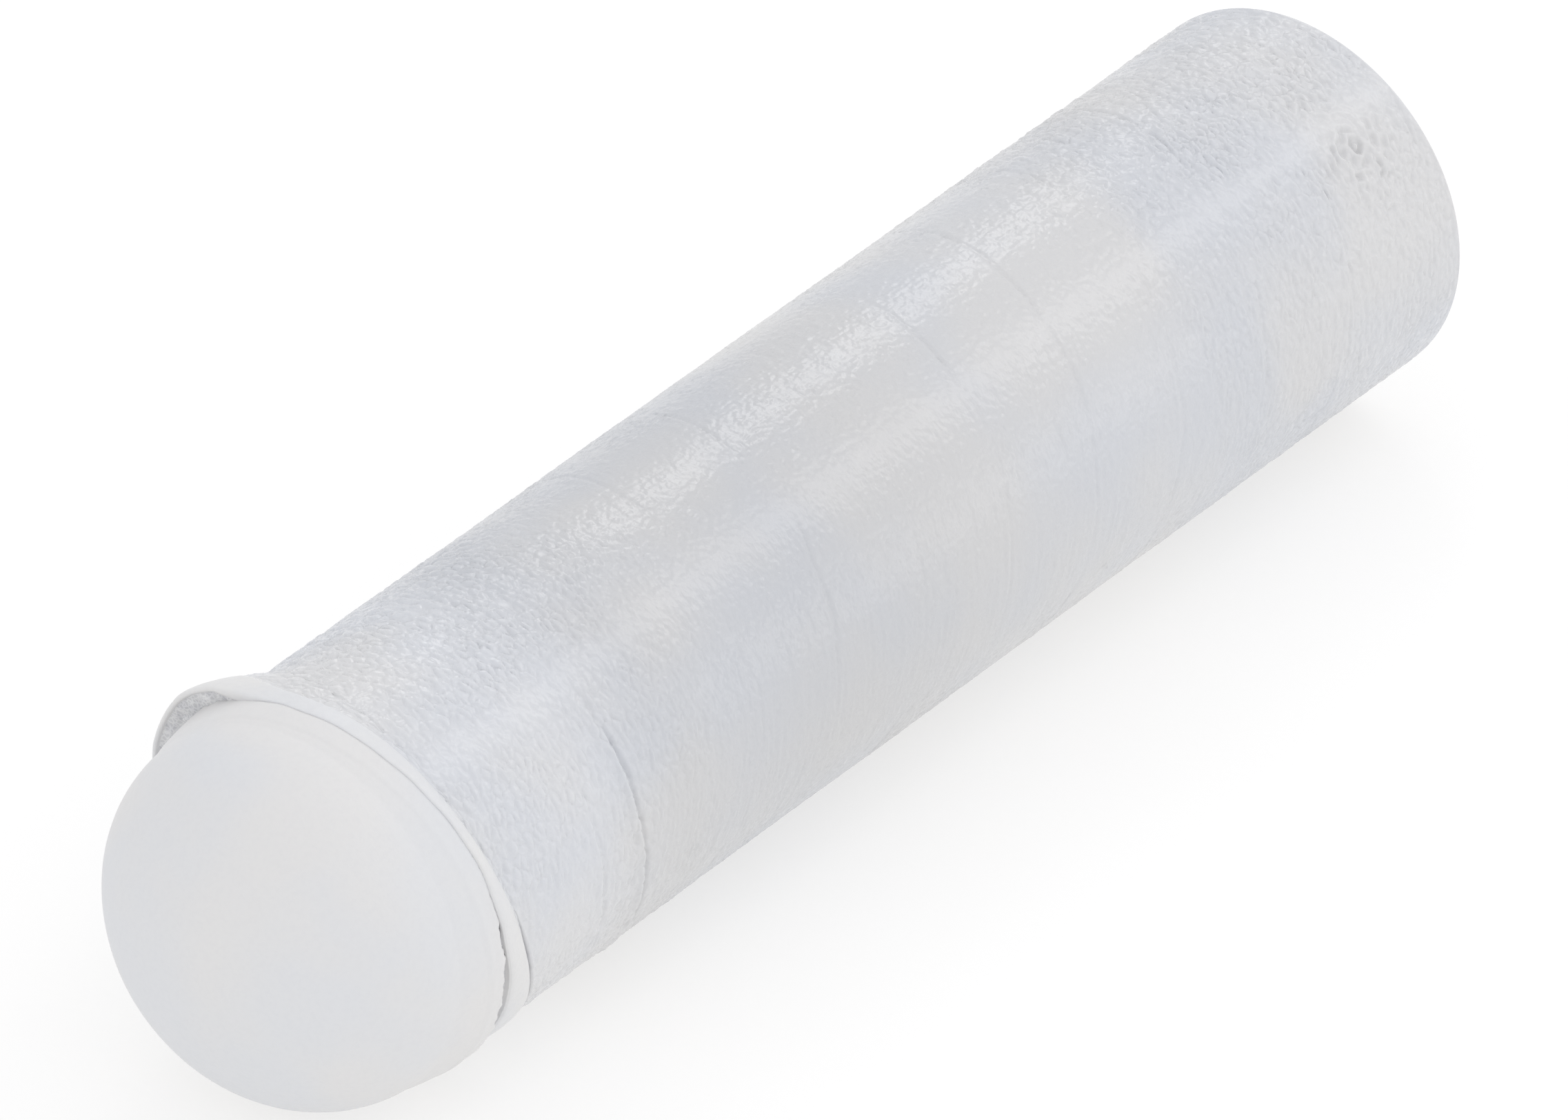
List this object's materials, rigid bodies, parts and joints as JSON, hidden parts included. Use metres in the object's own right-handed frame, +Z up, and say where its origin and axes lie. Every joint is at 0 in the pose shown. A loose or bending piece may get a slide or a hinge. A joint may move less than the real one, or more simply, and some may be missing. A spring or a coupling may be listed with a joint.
{
  "type": "foam roller",
  "caption": "White closed-cell foam massage roller: a solid foam rod in a pebbled, creased foam sleeve, with a smooth domed end cap inside a thin flared collar.",
  "frame": {"origin": "centre of the plain end's flat face, on the roller's axis", "axes": "+X along the roller from the plain end to the domed end, +Z up as it lies on a floor, +Y completes the right hand"},
  "size_m": [0.658, 0.1632, 0.1632],
  "materials": {
    "cut_foam": "matte cut cells of white polyethylene foam",
    "pebbled_skin": "satin, finely pebbled and creased white foam skin",
    "smooth_rim": "smooth satin white foam skin",
    "smooth_cap": "smooth matte white foam skin"
  },
  "bodies": {
    "root": {"foam_core": "cut_foam", "outer_skin": "pebbled_skin", "mouth_collar": "smooth_rim", "end_cap": "smooth_cap"}
  },
  "joints": []
}
